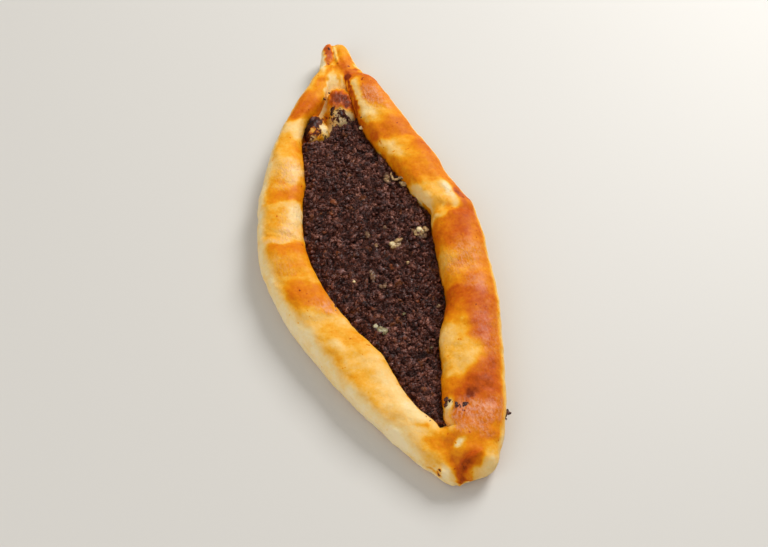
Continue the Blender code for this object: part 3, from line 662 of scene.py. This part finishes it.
def ball_mesh(belts, around):
    """Corners and faces of a round ball: a pole, belts of corners on even turns, and a pole."""
    turn = np.radians(np.linspace(0, 180, belts + 2))[1:-1, None]
    circle = np.linspace(0, 2 * np.pi, around, endpoint=False)[None, :]
    circle = circle + np.arange(belts)[:, None] * np.pi / around
    belt = np.stack([np.sin(turn) * np.cos(circle), np.sin(turn) * np.sin(circle),
                     np.cos(turn) + 0 * circle], axis=2)
    corners = np.concatenate([[(0, 0, 1)], belt.reshape(-1, 3), [(0, 0, -1)]])
    here = np.arange(around)
    after, last = (here + 1) % around, len(corners) - 1
    faces = [np.stack([0 * here, 1 + here, 1 + after], axis=1)]
    for k in range(belts - 1):
        upper, lower = 1 + k * around, 1 + (k + 1) * around
        faces.append(np.stack([upper + here, lower + here, upper + after], axis=1))
        faces.append(np.stack([upper + after, lower + here, lower + after], axis=1))
    below = last - around
    faces.append(np.stack([0 * here + last, below + after, below + here], axis=1))
    return corners, np.concatenate(faces)


def grains(name, ball, places, sizes, seed, palest=1.0):
    """Uneven lumps, one at each place, as one mesh; `sizes` holds half sizes.

    Each lump is a ball whose corners are pushed in or out at random, stretched along three axes,
    and turned by a random rotation: two random perpendicular directions and their cross product.
    """
    dice = np.random.default_rng(seed)
    count, (ball_corners, ball_faces) = len(places), ball
    first = dice.normal(size=(count, 3))
    first /= np.linalg.norm(first, axis=1)[:, None]
    second = np.cross(first, dice.normal(size=(count, 3)))
    second /= np.linalg.norm(second, axis=1)[:, None]
    turn = np.stack([first, second, np.cross(first, second)], axis=1)
    stretch = dice.uniform((0.9, 0.65, 0.45), (1.5, 1.0, 0.8), (count, 3)) * sizes[:, None]
    push = dice.uniform(0.5, 1.4, (count, len(ball_corners), 1))
    corners = ball_corners[None] * push * stretch[:, None, :]
    corners = np.einsum("nij,njk->nik", corners, turn) + places[:, None, :]
    faces = ball_faces[None] + len(ball_corners) * np.arange(count)[:, None, None]
    mesh = bpy.data.meshes.new(name)
    mesh.from_pydata((corners.reshape(-1, 3) / 1000).tolist(), [], faces.reshape(-1, 3).tolist())
    mesh.shade_smooth()
    paint(mesh, "tone", np.repeat(dice.uniform(palest - 1, palest, count), len(ball_corners)))
    return mesh


def strewn(count, small, large, deepest, highest, seed):
    """Random places over the bed, and half sizes that grow with the square of an even random number."""
    dice = np.random.default_rng(seed)
    across, along, to_edge = on_bed(dice.uniform(0, 1, count), dice.uniform(0, 1, count), LOOSE_INSET)
    size = small + (large - small) * dice.uniform(0, 1, count) ** 2
    height = bed_level(across, along) - LOOSE_EDGE_DROP * (1 - smooth_step(0, 5, to_edge))
    height = height + dice.uniform(deepest, highest, count)
    return np.stack([across, along, height], axis=1), size


# The finish of the mince: nearly black in its pores through deep red brown to a pale pinkish brown,
# greyer in patches, and orange where oil lies on it.
mince_finish, shader, make = finish_of("cooked_mince", specular_ior_level=0.3, coat_weight=0.14,
                                       coat_roughness=0.18)
MINCE_COLOURS = [
    (0, (0.017, 0.002, 0.0005)), (0.3, (0.054, 0.0085, 0.0028)), (0.65, (0.165, 0.041, 0.021)),
    (1, (0.5, 0.23, 0.155))]
GREYER_COLOURS = [(0, (0.02, 0.0045, 0.0045)), (1, (0.34, 0.17, 0.15))]
MINCE_OIL = (0.26, 0.07, 0.006, 1)
shade = make.painted("tone") * 0.34 + make.drift(2.4, 0.85, 3, 0.75) + make.drift(1.3, 4.5, 2) + 0.22
greyer = make.noise(4, 2).between(0.54, 0.68) * 0.6
colour = greyer.mixed(shade.coloured(MINCE_COLOURS), shade.coloured(GREYER_COLOURS))
oily = make.noise(6, 2).between(0.62, 0.70) * 0.55
wire(shader, oily.mixed(colour, MINCE_OIL), "Base Color")
wire(shader, 0.42 + make.drift(0.5, 2, 2), "Roughness")
wire(shader, make.noise(0.6, 3, 0.7).raised(0.9, 0.0006), "Normal")
paint(core, "tone", np.full(core_rings.shape[:2], 0.3))
show("mince_core", core, mince_finish, "mince", "mince")

# Belts and corners of a grain's ball, count, least and greatest half size, deepest and highest place
# from the bed's level, and seed.
LOOSE_MINCE = {"mince_clumps": ((4, 9), 2600, 0.9, 2.1, -1.9, -0.3, 31),
               "mince_grains": ((2, 6), 5600, 0.35, 0.9, -1.4, 0.3, 32),
               "mince_crumble": ((2, 6), 6000, 0.22, 0.5, -1.0, 0.6, 33)}
for name, (ball, *measures, seed) in LOOSE_MINCE.items():
    places, sizes = strewn(*measures, seed)
    show(name, grains(name, ball_mesh(*ball), places, sizes, seed), mince_finish, "mince")


# Onion, tomato and green pepper. Small soft pieces that were fried with the meat. They lie on it,
# half sunk, some browned at the edges. Each is an uneven oval section carried along a bent path.
def morsel(path, half_width, half_height, raised, seed):
    """A lump along a path over the bed: each point is the path's point, plus sideways the half
    width times a cosine and upwards the half height times a sine, both shrinking towards the two
    ends as a superellipse does, and made uneven by soft waves of two sizes. Given with it is how
    near each point is to the piece's edge, from 0 to 1.
    """
    knots = np.array(path, float)
    step = np.concatenate([[0], np.cumsum(np.linalg.norm(np.diff(knots, axis=0), axis=1))])
    at = step[-1] * (1 - np.cos(np.linspace(0.06, np.pi - 0.06, 34))) / 2
    across, along = (through(np.column_stack([step, knots[:, axis]]), at) for axis in (0, 1))
    heading = np.stack([np.gradient(across, at), np.gradient(along, at)], axis=1)
    heading /= np.linalg.norm(heading, axis=1)[:, None]
    stout = (1 - np.abs(2 * at / step[-1] - 1) ** 2.6) ** 0.5
    turn = np.linspace(0, 2 * np.pi, 22, endpoint=False)[None, :]
    middle = np.stack([across, along, bed_level(across, along) + raised], axis=1)[:, None, :]
    aside = np.stack([heading[:, 1], -heading[:, 0], 0 * at], axis=1)[:, None, :]
    away = aside * (half_width * stout[:, None] * np.cos(turn))[:, :, None]
    away = away + np.array([0, 0, 1]) * (half_height * stout[:, None] * np.sin(turn))[:, :, None]
    uneven = 1 + 0.26 * waves(middle + away, 2.6, seed) + 0.2 * waves(middle + away, 1.0, seed + 50)
    edge = 1 - stout[:, None] * np.clip(np.sin(turn), 0, 1) ** 0.5
    return middle + away * uneven[:, :, None], edge


# Each piece: its path as places across and along, half width, half height, height over the bed, tone.
ONION = [
    ([(25.2, -6.2), (28, -4), (31.4, -3)], 3.6, 0.8, 0, 0.5),
    ([(11.2, -9.6), (15.6, -6.8)], 2.1, 0.7, 0, 0.52),
    ([(27, -4.6), (28.2, -3), (29.8, -2.6)], 2.2, 1.3, 0.4, 1.25),
    ([(25.4, -6.4), (25.6, -2.4)], 1.7, 1, 0.2, 0.66), ([(30.6, -0.8), (31.8, -4.8)], 1.6, 1, 0.2, 0.6),
    ([(26.2, -7.2), (28.8, -7), (31.4, -6.4)], 1.3, 0.9, 0.2, 0.36),
    ([(10.6, -10.8), (11.8, -6.4)], 1.8, 1, 0.4, 0.9),
    ([(12, -6.2), (14.5, -6.8), (17.6, -6)], 1.3, 0.9, 0.35, 0.6),
    ([(22, 40.2), (21.4, 37.2), (22.4, 34.3), (24.4, 34.4), (26.2, 35), (27.6, 33.6), (29, 31.8)],
     0.8, 0.9, 0.7, 0.66),
    ([(19.2, 41), (18.6, 36.6), (19.8, 32)], 1.7, 0.9, 0.3, 0.42),
    ([(26.4, 38.2), (28.6, 37)], 1.5, 0.9, 0.3, 0.4),
    ([(24.8, 32.6), (26.4, 30.6), (27.8, 28.2)], 1.5, 0.9, 0.45, 0.62),
    ([(-4.4, -20.4), (-3.6, -25), (-5, -29.8)], 1.5, 0.8, 0.2, 0.34),
    ([(-1, 4.5), (-0.8, -1.1)], 1.4, 0.9, 0.3, 0.34),
    ([(-2.2, -31.2), (0.2, -33.4), (2.2, -31)], 1.3, 0.8, 0.2, 0.34),
    ([(15.8, -22.8), (17.2, -21)], 0.8, 0.7, 0.4, 0.6),
    ([(-14.9, -26.8), (-14.1, -25.6)], 0.8, 0.6, 0.5, 1), ([(12.2, 77), (13.2, 79.2)], 0.9, 0.8, 1, 1.1),
    ([(25.2, -52.4), (26.2, -50.4)], 1.1, 0.8, 0.2, 0.4), ([(8.6, 4), (10.6, 2.6)], 1.1, 0.8, 0.3, 0.4),
    ([(2, -8.6), (2.6, -5.6)], 0.9, 0.7, 0.3, 0.45)]
TOMATO = [
    ([(-15.4, 30), (-14.6, 27.4), (-13, 25)], 1.6, 0.8, 0, 0.52),
    ([(-17.6, 21.4), (-16.2, 19)], 1.3, 0.8, 0.1, 0.5),
    ([(-20.4, -5.6), (-17.6, -6.2)], 1.4, 0.8, 0.1, 0.35),
    ([(6.4, -20.6), (9.2, -23.6)], 1.4, 0.8, 0.1, 0.5), ([(-9.4, -44.6), (-7.4, -47)], 1.1, 0.8, 0.1, 0.4),
    ([(14.8, -46.8), (16.6, -45)], 1, 0.7, 0.1, 0.5), ([(-24.2, 10.6), (-23, 8.2)], 1.1, 0.8, 0.1, 0.4),
    ([(10, 18.4), (11.6, 16.6)], 1, 0.7, 0.1, 0.2), ([(-3, -13.4), (-1, -14.2)], 1.2, 0.8, 0.1, 0.3),
    ([(2.4, -66), (4, -68.2)], 1, 0.7, 0.1, 0.4)]
PEPPER = [
    ([(-10.6, -55.6), (-8.8, -58.2)], 1.5, 0.9, 0.35, 0.9),
    ([(-9.2, -58.4), (-6.4, -60.4), (-3.6, -60)], 1.9, 0.9, 0.35, 0.5),
    ([(15, -74.4), (16, -76.4)], 1, 0.8, 0.2, 0.1), ([(5.6, -53.2), (7.6, -52.4)], 0.9, 0.7, 0.2, 0.3)]

# Their colours, from browned to fresh.
ONION_COLOURS = [(0, (0.055, 0.018, 0.006)), (0.3, (0.15, 0.07, 0.033)), (0.6, (0.42, 0.265, 0.1)),
                 (1, (0.8, 0.63, 0.35))]
TOMATO_COLOURS = [(0, (0.045, 0.01, 0.003)), (0.5, (0.19, 0.042, 0.006)), (1, (0.32, 0.1, 0.016))]
PEPPER_COLOURS = [(0, (0.05, 0.025, 0.008)), (0.4, (0.24, 0.2, 0.09)), (1, (0.58, 0.54, 0.36))]

for name, pieces, stops, seed in (("onion_pieces", ONION, ONION_COLOURS, 61),
                                  ("tomato_pieces", TOMATO, TOMATO_COLOURS, 62),
                                  ("pepper_pieces", PEPPER, PEPPER_COLOURS, 63)):
    soft_finish, shader, make = finish_of(name, subsurface_weight=0.15, subsurface_scale=0.002,
                                          specular_ior_level=0.3, coat_weight=0.15, coat_roughness=0.2)
    mottle = make.painted("tone") + make.drift(1.1, 1.4, 3, 0.65) + make.drift(0.3, 5, 2)
    wire(shader, mottle.coloured(stops), "Base Color")
    wire(shader, 0.45 + make.drift(0.3, 1.5, 2), "Roughness")
    wire(shader, make.noise(0.6, 3, 0.6).raised(0.4, 0.0004), "Normal")
    made = [morsel(*piece[:4], seed + 3 * k) for k, piece in enumerate(pieces)]
    mesh = closed_tubes(name, *[lump for lump, edge in made])
    tones = [(tone - 0.45 * edge).ravel() for (lump, edge), (*shape, tone) in zip(made, pieces)]
    paint(mesh, "tone", np.concatenate(tones))
    show(name, mesh, soft_finish, "mince")


# Crumbs of mince that stuck to the egg wash, on the dough at both ends of the meat, on the right
# rim beside the meat's near end, and on that rim's outer side. Each lies in the surface under it.
def dough_height(across, along):
    """Height of the dough's upper side at places across and along.

    The greatest, over the skin's points within 0.8 mm on the plan, of height less distance.
    """
    top = rings[:, ACROSS_BASE:].reshape(-1, 3)
    away = np.linalg.norm(top[None, :, :2] - np.column_stack([across, along])[:, None, :], axis=2)
    return np.where(away < 0.8, top[None, :, 2] - away, 0).max(axis=1)


def side_reach(along, height):
    """Place across of the right rim's outer side, from the skin's points nearest in length and height."""
    side = rings[:, ACROSS_BASE:ACROSS_BASE + AROUND_RIM].reshape(-1, 3)
    gap = np.abs(side[None, :, 1:] - np.column_stack([along, height])[:, None, :])
    return np.where((gap < 0.9).all(axis=2), side[None, :, 0], 0).max(axis=1)


# Each crumb: place across, place along, half size. A cluster has its spread each way and a count.
CRUMBS = [
    (15.2, -107.6, 1.9), (14.4, -109.4, 1.5), (16.6, -108.9, 1.2), (18.8, -112.4, 1.6), (20.6, -112.9, 1.3),
    (22.4, -113.5, 1.5), (24.2, -113, 1.1), (-0.3, 107.1, 0.9), (-4.2, 103, 1.3), (-1.1, 95, 1.2),
    (3.9, 90.5, 1.6), (6, 89.2, 1.4), (-2, 91.4, 1.1), (7.6, 88, 1.2), (14, 82.4, 0.9), (-4.7, 100.6, 0.7)]
SCATTERS = [
    (4.8, 89.8, 2.6, 1.6, 9), (-1.1, 93, 1.8, 2.4, 7), (15.6, -109, 2.2, 2.6, 12),
    (20.5, -112.8, 3.5, 0.8, 9), (-28, -43.5, 1.2, 6, 6), (4.4, -112.8, 1.4, 4, 5), (-10.5, 79, 4, 1.6, 6)]
# On the rim's outer side: place along, height, half size.
SIDE_CRUMBS = np.array([(-118.6, 9.6, 1.6), (-117.2, 8.8, 1.2), (-119.8, 9.0, 1.1), (-121.0, 8.6, 0.7)])
SUNK = 0.3  # how far a crumb's middle lies below the dough's surface
dice = np.random.default_rng(71)
scattered = [np.column_stack([dice.normal(across, wide / 2, count), dice.normal(along, long / 2, count),
                              dice.uniform(0.42, 0.75, count)])
             for across, along, wide, long, count in SCATTERS]
crumbs = np.concatenate([CRUMBS] + scattered)
places = np.column_stack([crumbs[:, :2], dough_height(crumbs[:, 0], crumbs[:, 1]) - SUNK])
side_along, side_height, side_size = SIDE_CRUMBS.T
side_across = side_reach(side_along, side_height) - 0.1 * side_size
side_places = np.column_stack([side_across, side_along, side_height])
show("crumbs", grains("crumbs", ball_mesh(3, 8), np.concatenate([places, side_places]),
                      np.concatenate([crumbs[:, 2], side_size]), 72, 0.9), mince_finish, "mince")


# The table, the light and the camera. A pale plain table top, a large soft light from the far
# right, a pale surround, and the camera where the photograph was taken from.
TABLE_HALF, TABLE_HEIGHT = 3, -0.0002  # metres
table = bpy.data.meshes.new("table_top")
table.from_pydata([(TABLE_HALF * right, TABLE_HALF * far, TABLE_HEIGHT)
                   for right, far in ((-1, -1), (1, -1), (1, 1), (-1, 1))], [], [(0, 1, 2, 3)])
table_finish, shader, _ = finish_of("pale_table", roughness=0.6)
shader.inputs["Base Color"].default_value = (0.62, 0.60, 0.56, 1)
table.materials.append(table_finish)
table_top = bpy.data.objects.new("table_top", table)
bpy.context.scene.collection.objects.link(table_top)


def soft_light(name, place, aim, size, power):
    """A square area light at a place in metres, turned to shine at another."""
    lamp = bpy.data.lights.new(name, "AREA")
    lamp.size, lamp.energy = size, power
    made = bpy.data.objects.new(name, lamp)
    bpy.context.scene.collection.objects.link(made)
    away = np.array(place, float) - np.array(aim, float)
    away /= np.linalg.norm(away)
    across = np.cross((0, 0, 1), away)
    across /= np.linalg.norm(across)
    made.matrix_world = Matrix((*zip(across, np.cross(away, across), away, place), (0, 0, 0, 1)))


soft_light("window", (0.85, 0.7, 0.9), (0, 0, 0), 0.6, 19)
soft_light("fill", (-0.9, -0.6, 0.9), (0, 0, 0), 1.2, 7)
world = bpy.data.worlds.new("surround")
world.use_nodes = True
world.node_tree.nodes["Background"].inputs["Color"].default_value = (1, 0.97, 0.93, 1)
world.node_tree.nodes["Background"].inputs["Strength"].default_value = 0.42
bpy.context.scene.world = world
bpy.context.scene.view_settings.view_transform = "Standard"

# The camera's place in metres, its turns in degrees, and its lens in millimetres.
CAMERA_PLACE = (-0.05879, -0.31776, 0.48430)
CAMERA_TURNS = [(-11.79, "Z"), (32.33, "X"), (-1.78, "Z")]
LENS = 48.49
camera = bpy.data.objects.new("camera", bpy.data.cameras.new("camera"))
camera.data.sensor_width = 36
camera.data.lens = LENS
camera.data.clip_start = 0.01
bpy.context.scene.collection.objects.link(camera)
aim = Matrix.Translation(CAMERA_PLACE)
for degrees, axis in CAMERA_TURNS:
    aim = aim @ Matrix.Rotation(math.radians(degrees), 4, axis)
camera.matrix_world = aim
bpy.context.scene.camera = camera
